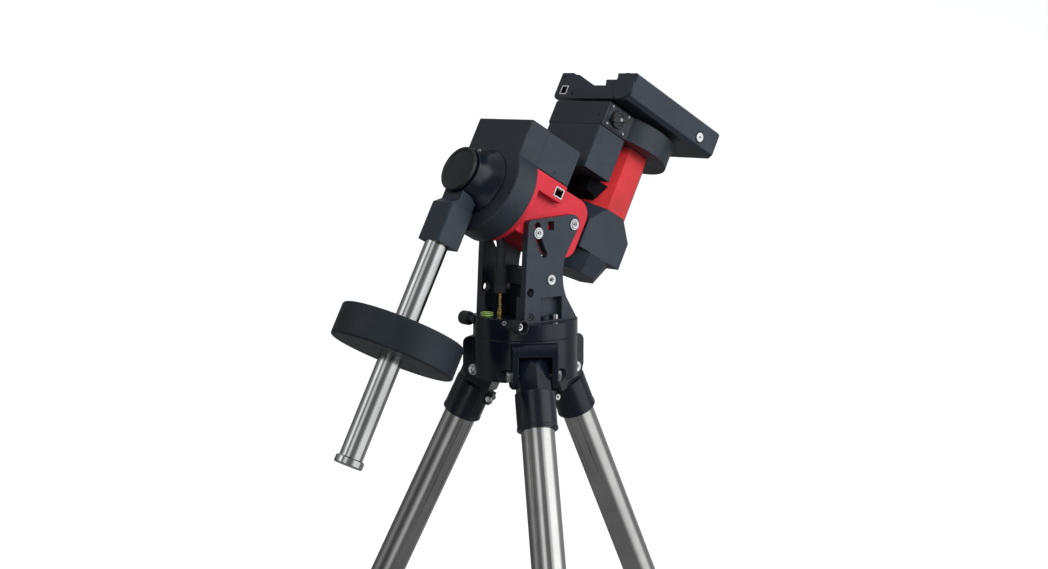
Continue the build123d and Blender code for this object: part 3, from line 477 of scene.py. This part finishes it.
def fork_fasteners():
    """Cross bar bolts, the plug in each plate's lower hole, and the screws in the fork's feet."""
    shanks, heads, plugs, dark, bright = bmesh.new(), [], [], [], []
    bar_end = 25
    for side, face in SIDES:
        heads.append(BASE @ shift(BAR_X, side * FORK_OUT, BAR_Z) @ face)
        start = BASE @ shift(BAR_X, side * bar_end, BAR_Z) @ face
        lathe(shanks, start, [(3.8, 0), (3.8, FORK_OUT - bar_end)])
        plugs.append(BASE @ shift(PLUG_X, side * (FORK_OUT - 3.2), PLUG_Z) @ face)
        dark.append(BASE @ shift(FOOT_SCREW_X[0], side * FORK_PLATE_Y, FOOT_SCREW_Z))
        bright.append(BASE @ shift(FOOT_SCREW_X[1], side * FORK_PLATE_Y, FOOT_SCREW_Z))
    screws("cross_bar_bolt_heads", heads, 6.4, 1.9, 2.9, 1.7, WASHER, "azimuth_turn",
           replaces=("fork_screws",))
    finish_piece("cross_bar_bolt_shanks", shanks, CHROME, "azimuth_turn")
    screws("jack_hole_plugs", plugs, 4.3, 2.4, 1.6, 1.2, PLASTIC, "azimuth_turn")
    screws("fork_foot_screws_dark", dark, 4.6, 4.4, 2.2, 2.0, BLACK, "azimuth_turn")
    screws("fork_foot_screws_bright", bright, 4.2, 5.8, 2.2, 2.4, CHROME, "azimuth_turn")


def azimuth_grip_pieces():
    """Knurled azimuth knobs with a bright screw in the middle."""
    rim, core = bmesh.new(), []
    grip = knurl(22, 0.07)
    profile = [(6.4, 0), (7.6, 0), (8.6, 1.0), (8.6, 13.4), (8.1, 14.4), (7.3, 14.4), (6.9, 13.8),
               (6.6, 3.4), (0.8, 3.4)]
    for side, face in SIDES:
        place = BASE @ shift(AZ_SCREW_X, side * AZ_SCREW_Y, AZ_SCREW_Z) @ face
        add_loops(rim, place, [circle(r, z, 88, grip if r > 7.7 else None) for r, z in profile])
        core.append(place @ shift(0, 0, 4.0))
    finish_piece("azimuth_knob_grips", rim, PLASTIC, "azimuth_grips", ("azimuth_knobs",))
    screws("azimuth_knob_centres", core, 4.8, 4.4, 2.6, 3.4, CHROME, "azimuth_grips")


def level_pieces():
    """Round bubble level: pale green rim, dark green fluid and its bubble."""
    place = BASE @ shift(LEVEL_X, LEVEL_Y, LEVEL_Z)
    rim, dome, bubble = bmesh.new(), bmesh.new(), bmesh.new()
    tube(rim, place, 8.5, 7.0, 0, 0.9, 0.2)
    tube(rim, place, 8.3, 7.0, 2.3, 3.1, 0.2)
    lathe(dome, place, [(7.6, 0.3), (7.6, 2.5), (5.0, 2.7), (0.8, 2.8)])
    tube(bubble, place @ shift(1.2, 0.6, 2.65), 2.6, 1.9, 0, 0.3, 0.1)
    finish_piece("level_rim", rim, VIAL_RIM, "azimuth_turn", ("bubble_level",))
    finish_piece("level_fluid_disc", dome, FLUID, "azimuth_turn")
    finish_piece("level_bubble_ring", bubble, VIAL_RIM, "azimuth_turn")


def base_lock_screw():
    """Bright grub screw in the azimuth base's round, beside the near screw block."""
    place = BASE @ turn(-153, "Z") @ shift(63.3, 0, 21.5) @ turn(90, "Y")
    # Near-black ring round the screw: painted shade of its hole.
    rim = bmesh.new()
    tube(rim, place, 4.4, 2.8, -0.6, 0.5)
    finish_piece("base_lock_screw_hole_shade", rim, HOLE_SHADE_AND_SEAM, "azimuth_turn")
    screws("base_lock_screw", [place @ shift(0, 0, -1.0)], 2.9, 1.9, 1.0, 0.6, WASHER, "azimuth_turn")


def jack_pieces():
    """Brass jack screw with rounded threads, and the hex nut and collar at its foot."""
    place = BASE @ shift(JACK_X, 0, 0)
    screw = bmesh.new()
    thread_start, pitch, turns = 36.0, 2, 17
    profile = [(2.0, 18.2), (2.0, thread_start)]
    for i in range(turns):
        z = thread_start + pitch * i
        profile += [(1.8, z + 0.3), (2.1, z + 0.9), (2.1, z + 1.3), (1.8, z + 1.9)]
    lathe(screw, place, profile, 32)
    finish_piece("jack_brass_screw", screw, BRASS, "azimuth_turn", ("altitude_screw",))
    foot = bmesh.new()
    add_loops(foot, place, [hexagon(4.6, 26.1), hexagon(4.6, 30.4), circle(4.0, 31.0), circle(1.9, 31.0)])
    add_loops(foot, place, [circle(3.2, 31.0), circle(3.2, 34.4), circle(2.6, 35.2), circle(1.9, 35.2)])
    finish_piece("jack_brass_collar", foot, BRASS, "azimuth_turn")


def switch_pieces(name, unit, body, switch_body, node):
    """Lever knob on its plate, with small screws; the same on both drive units."""
    centre = unit @ shift(63.4, UNIT_HALF + 1.05, UNIT_T / 2) @ FACE_FAR
    bm = bmesh.new()
    profile = [(10.2, 0.2), (11.0, 0.8), (11.0, 2.8), (10.3, 3.5), (8.2, 3.5), (7.6, 2.6), (0.6, 2.6)]
    add_loops(bm, centre, [circle(r, z, 60, knurl(20, 0.04) if r > 10.4 else None) for r, z in profile])
    lever = centre @ turn(25, "Z")
    outline = [(-11.5, -2.3), (10.0, -3.2), (13.2, -1.6), (13.2, 1.6), (10.0, 3.2), (-11.5, 2.3)]
    slab(bm, lever, outline, 2.4, 6.9, 0.7)
    finish_piece(name + "_switch_lever", bm, PLASTIC, switch_body, (node,))
    screws(name + "_switch_screw", [centre @ shift(0, 0, 6.4)], 2.0, 1.0, 1.0, 0.8, CHROME, switch_body)
    corners = [centre @ shift(x, y, -0.05) for x in (-15.6, 14.0) for y in (-11.4, 11.4)]
    screws(name + "_switch_plate_screws", corners, 1.5, 0.8, 0.8, 0.6, CHROME, body)


def housing_screws():
    """Small screws on the north faces and in the motor covers."""
    face = RA_UNIT @ shift(0, 0, UNIT_T)
    screws("ra_face_screws", [face @ shift(40, 25, -0.4), face @ shift(-42, 25, -0.4)],
           2.6, 1.0, 1.3, 0.9, CHROME, "polar_housing")
    screws("ra_cover_corner_screws", [face @ shift(78, y, -0.5) for y in (-44, 44)],
           1.7, 0.8, 0.9, 0.7, BLACK, "polar_housing")
    north = DEC_UNIT @ shift(UNIT_TOP, 0, 0) @ turn(90, "Y")
    spots = [north @ shift(x, y, -0.3) for x in (-13, 48) for y in (38, -38)]
    # Near-black screws: painted shade of their recesses.
    screws("dec_cover_screws", spots, 1.6, 0.5, 0.9, 0.8, HOLE_SHADE_AND_SEAM, "polar_axis")
    sides = [RA_UNIT @ shift(44, side * 47.4, -30) @ face @ shift(0, 0, -0.3) for side, face in SIDES]
    # Near-black screws: painted shade of their recesses.
    screws("ra_cover_side_screws", sides, 1.6, 0.5, 0.9, 0.8, HOLE_SHADE_AND_SEAM, "polar_housing")


def saddle_pieces():
    """Bright clamp bolt on the near jaw, end screws and the guide holes underneath; the end screws and holes
    are near black, painted shade of their recesses.
    """
    place = HEAD @ shift(CLAMP_X, SADDLE_NEAR + 0.2, CLAMP_Z) @ FACE_NEAR
    screws("clamp_bolt_head", [place @ shift(0, 0, -3.0)], 6.3, 4.2, 1.4, 0.8, WASHER, "clamp_jaw")
    holes = [HEAD @ shift(x, -58, 165.4) @ turn(180, "X") @ shift(0, 0, -0.2) for x in (152, 158)]
    screws("jaw_under_screws", holes, 2.4, 0.4, 1.4, 1.0, HOLE_SHADE_AND_SEAM, "clamp_jaw")
    spots = [HEAD @ shift(SADDLE_N, y, z) @ FACE_NORTH for y, z in ((61, 196), (34, 172))]
    screws("saddle_end_screws", spots, 1.6, 0.5, 0.9, 0.7, HOLE_SHADE_AND_SEAM, "dec_axis")
    screws("clamp_knob_centre", [HEAD @ shift(CLAMP_X, SADDLE_FAR + 16.6, CLAMP_Z) @ FACE_FAR],
           4.2, 1.4, 2.0, 1.2, CHROME, "clamp_knob")


def tripod_pieces():
    """Socket heads on the hinge bolts, and on each sleeve the clamp boss's screws and a lip."""
    shanks, heads = bmesh.new(), []
    for angle in LEG_ANGLES:
        hinge = BASE @ turn(angle, "Z") @ shift(LEG_PIVOT_R, 0, LEG_PIVOT_Z)
        for side, face in SIDES:
            heads.append(hinge @ shift(0, side * HINGE_FACE, 0) @ face)
        start = HINGE_FACE - 0.2
        lathe(shanks, hinge @ shift(0, -start, 0) @ FACE_FAR, [(3.9, 0), (3.9, 2 * start)], 32)
    screws("hinge_bolt_heads", heads, 6.9, 5.2, 3.0, 3.4, CHROME, "tripod",
           replaces=("leg_pivot_bolts",))
    finish_piece("hinge_bolt_shanks", shanks, CHROME, "tripod")
    for number, angle in enumerate(LEG_ANGLES, start=1):
        place = leg_frame(angle)
        boss = [place @ shift(-26.5, side * 6.1, -32) @ face for side, face in SIDES]
        screws(f"sleeve_{number}_clamp_screws", boss, 4.0, 3.0, 2.0, 2.2, CHROME, f"leg_{number}")
        lip = bmesh.new()
        tube(lip, place, 24.6, 20.2, -66.6, -62.0, 0.8, 64)
        finish_piece(f"sleeve_{number}_lip", lip, HUB_PAINT, f"leg_{number}")


def nose_piece():
    """Polar nose that flares smoothly into a flange on the housing's north face."""
    bm = bmesh.new()
    profile = [(15.6, 82.5), (15.6, 90.9), (28.8, 90.9), (29.4, 90.3), (29.5, 86.0), (29.8, 82.0),
               (30.4, 79.0), (31.4, 76.0), (33.0, 72.6), (35.2, 69.2), (37.2, 66.4), (38.8, 64.2),
               (40.2, 62.6), (41.4, 61.5), (41.6, 60.9), (41.2, 60.5), (38.0, 60.4), (20.0, 60.4)]
    lathe(bm, HEAD @ FACE_NORTH, profile, 128)
    finish_piece("polar_nose_flare", bm, HUB_PAINT, "polar_axis", ("ra_nose",))


def seam_strips():
    """Dark joint between each gear housing and its motor cover, on the motor end."""
    strip = [(-0.35, -47.2), (0.35, -47.2), (0.35, 47.2), (-0.35, 47.2)]
    for name, unit, body in (("ra", RA_UNIT, "polar_housing"), ("dec", DEC_UNIT, "polar_axis")):
        bm = bmesh.new()
        end = unit @ shift(UNIT_TOP, 0, 0) @ turn(90, "Y")
        slab(bm, end, strip, -0.3, 0.05)
        finish_piece(name + "_housing_seam", bm, HOLE_SHADE_AND_SEAM, body)


def painted_shade_block():
    """Near-black block over the cable box under the declination motor cover, cut to the shape of the shade
    that falls there: painted shade.
    """
    bm = bmesh.new()
    outline = [(69.6, 54.0), (84.2, 53.0), (86.6, 47.0), (90.0, 52.0), (101.0, 71.6), (69.6, 71.6)]
    slab(bm, HEAD @ shift(0, 31, 0) @ turn(90, "X"), outline, 0, 62)
    finish_piece("dec_painted_shade_block", bm, SHADE_BLACK, "polar_axis")


def cap_piece():
    """Polar cap with a raised lip and a dished middle."""
    bm = bmesh.new()
    place = HEAD @ FACE_NORTH
    profile = [(24.5, 91.2), (24.5, 93.2), (27.0, 93.2), (27.7, 93.9), (27.7, 97.4), (27.0, 98.3),
               (25.2, 98.5), (23.9, 97.9), (23.0, 96.9), (12.0, 96.5), (1.0, 96.5)]
    lathe(bm, place, profile, 96)
    finish_piece("polar_cap_dish", bm, CAP, "cap", ("polar_cap",))


# ---------------------------------------------------------------- stage
def stage_rings():
    """(radius, height) of the floor's rings in metres: flat, then a quarter round, then a wall."""
    bend_radius, flat_radius, steps = 3.0, 7.0, 12
    rings = [(0.2, 0.0), (2.0, 0.0), (5.0, 0.0), (flat_radius, 0.0)]
    for i in range(1, steps + 1):
        angle = radians(90 * i / steps)
        rings.append((flat_radius + bend_radius * sin(angle), bend_radius * (1 - cos(angle))))
    rings.append((flat_radius + bend_radius, 5.0))
    return rings


def build_stage():
    """Round pale floor that runs up into a wall, so every view has the same plain background."""
    bm = bmesh.new()
    add_loops(bm, Matrix.Identity(4), [circle(r / MM, z / MM, 96) for r, z in stage_rings()], True, False)
    mesh = bpy.data.meshes.new("studio_floor")
    bm.to_mesh(mesh)
    bm.free()
    m = Nodes("pale_floor")
    m.set(Roughness=0.9, Emission_Color=(1, 1, 1, 1), Emission_Strength=0.6)
    m.link(m.mix(m.noise(0.8, 2.0), (0.90, 0.90, 0.90), (0.93, 0.93, 0.93)), m.shader.inputs["Base Color"])
    mesh.materials.append(m.material)
    mesh.shade_smooth()
    floor = bpy.data.objects.new("studio_floor", mesh)
    bpy.context.collection.objects.link(floor)
    floor.visible_diffuse = False
    floor.visible_glossy = False
    floor.visible_shadow = False


def area_light(name, location, target, width, height, power, colour):
    """Rectangular lamp aimed at a point, left out of reflections."""
    data = bpy.data.lights.new(name, "AREA")
    data.shape = "RECTANGLE"
    data.size, data.size_y = width, height
    data.energy = power
    data.color = colour
    lamp = bpy.data.objects.new(name, data)
    lamp.location = location
    lamp.rotation_euler = (Vector(target) - Vector(location)).to_track_quat("-Z", "Y").to_euler()
    lamp.visible_glossy = False
    bpy.context.collection.objects.link(lamp)


# Brightness of the studio round the object: (degrees from the camera's side, brightness)
STUDIO = ((-180, 0.35), (-150, 0.22), (-128, 0.13), (-108, 0.25), (-90, 0.45), (-74, 0.22), (-62, 0.12),
          (-48, 0.20), (-36, 0.60), (-27, 1.00), (-16, 0.80), (-7, 0.20), (6, 0.16), (27, 0.18), (38, 0.75),
          (50, 1.60), (90, 1.60), (106, 0.45), (128, 0.40), (150, 0.60), (180, 0.35))
CAMERA_SIDE = -130.0          # azimuth of the camera as seen from the object, degrees
STRIP_DIRECTION = (-0.736, 0.321, 0.597)   # small softbox seen in the left of the counterweight shaft
TOP_LIGHT, FLOOR_LIGHT = 0.40, 0.16


def horizon_light(graph, x, y):
    """Brightness round the horizon from the STUDIO list."""
    angle = graph.math("DIVIDE", graph.math("ARCTAN2", y, x), 2 * pi)
    around = graph.math("FRACT", graph.math("ADD", angle, 1.5 - CAMERA_SIDE / 360))
    ramp = graph.node("ShaderNodeValToRGB")
    stops = ramp.color_ramp.elements
    while len(stops) < len(STUDIO):
        stops.new(0.5)
    brightest = max(value for _, value in STUDIO)
    for stop, (degrees, value) in zip(stops, STUDIO):
        stop.position = (degrees + 180) / 360
        stop.color = (*(value / brightest,) * 3, 1.0)
    graph.link(around, ramp.inputs["Fac"])
    return graph.math("MULTIPLY", ramp.outputs["Color"], brightest)


def strip_light(graph, direction):
    """Brightness of the small softbox."""
    toward = graph.node("ShaderNodeVectorMath", operation="DOT_PRODUCT")
    graph.link(direction, toward.inputs[0])
    toward.inputs[1].default_value = STRIP_DIRECTION
    return graph.remap(toward.outputs["Value"], 0.965, 0.985, 0.0, 1.1, "SMOOTHSTEP")


def blend(graph, level, other, share):
    """Level faded towards a constant by a share from 0 to 1."""
    kept = graph.math("MULTIPLY", level, graph.math("SUBTRACT", 1, share))
    return graph.math("ADD", kept, graph.math("MULTIPLY", share, other))


def background(graph, colour):
    """Background shader of one colour."""
    made = graph.node("ShaderNodeBackground")
    made.inputs["Color"].default_value = colour
    return made


def build_world():
    """Softboxes and dark flats for reflections; the background itself is plain white."""
    world = bpy.data.worlds.new("studio_world")
    world.use_nodes = True
    graph = Graph(world.node_tree)
    graph.tree.nodes.clear()
    direction = graph.node("ShaderNodeTexCoord").outputs["Generated"]
    axes = graph.node("ShaderNodeSeparateXYZ")
    graph.link(direction, axes.inputs["Vector"])
    x, y, z = (axes.outputs[k] for k in range(3))
    dim = graph.remap(z, -0.15, 0.30, 0.62, 1.0, "SMOOTHSTEP")
    level = graph.math("MULTIPLY", horizon_light(graph, x, y), dim)
    level = graph.math("ADD", level, strip_light(graph, direction))
    level = blend(graph, level, TOP_LIGHT, graph.remap(z, 0.55, 0.85, 0.0, 1.0, "SMOOTHSTEP"))
    level = blend(graph, level, FLOOR_LIGHT, graph.remap(z, -0.35, -0.75, 0.0, 1.0, "SMOOTHSTEP"))
    studio = background(graph, (0.93, 0.97, 1.0, 1.0))
    graph.link(level, studio.inputs["Strength"])
    plain = background(graph, (1, 1, 1, 1))
    choice = graph.node("ShaderNodeMixShader")
    graph.link(graph.node("ShaderNodeLightPath").outputs["Is Camera Ray"], choice.inputs["Fac"])
    graph.link(studio.outputs["Background"], choice.inputs[1])
    graph.link(plain.outputs["Background"], choice.inputs[2])
    graph.link(choice.outputs["Shader"], graph.node("ShaderNodeOutputWorld").inputs["Surface"])
    bpy.context.scene.world = world


def build_light():
    """Studio world, one soft key lamp and a weak front lamp."""
    build_world()
    area_light("key", (-0.3, -2.7, 2.1), (0.0, 0.0, 0.75), 1.0, 1.0, 48, (0.90, 0.95, 1.0))
    area_light("front", (-2.4, -1.9, 1.1), (0.0, 0.0, 0.8), 1.2, 1.2, 4, (1.0, 0.98, 0.97))


def build_camera():
    """Camera of the main view."""
    data = bpy.data.cameras.new("camera")
    data.lens = 55.0
    data.sensor_width = 36.0
    data.clip_end = 60.0
    camera = bpy.data.objects.new("camera", data)
    camera.location = (-1.2390, -1.4778, 0.9401)
    heading, down = radians(39.93), radians(7.08)
    direction = Vector((sin(heading) * cos(down), cos(heading) * cos(down), -sin(down)))
    camera.rotation_euler = direction.to_track_quat("-Z", "Y").to_euler()
    bpy.context.collection.objects.link(camera)
    bpy.context.scene.camera = camera


paint_nodes()
altitude_fasteners()
fork_fasteners()
azimuth_grip_pieces()
level_pieces()
base_lock_screw()
jack_pieces()
switch_pieces("dec", DEC_UNIT, "polar_axis", "dec_switch", "dec_gear_switch")
switch_pieces("ra", RA_UNIT, "polar_housing", "ra_switch", "ra_gear_switch")
housing_screws()
saddle_pieces()
tripod_pieces()
nose_piece()
seam_strips()
painted_shade_block()
cap_piece()
socket_insert("side_socket", HEAD @ shift(18.5, -47.4, 25.5) @ FACE_NEAR, 14, 12, 8.5, "polar_housing")
socket_insert("saddle_socket", HEAD @ shift(SADDLE_N, 52, 177) @ FACE_NORTH @ turn(90, "Z"),
              12, 12, 3.6, "dec_axis")
build_stage()
build_light()
build_camera()
bpy.context.scene.view_settings.view_transform = "Standard"
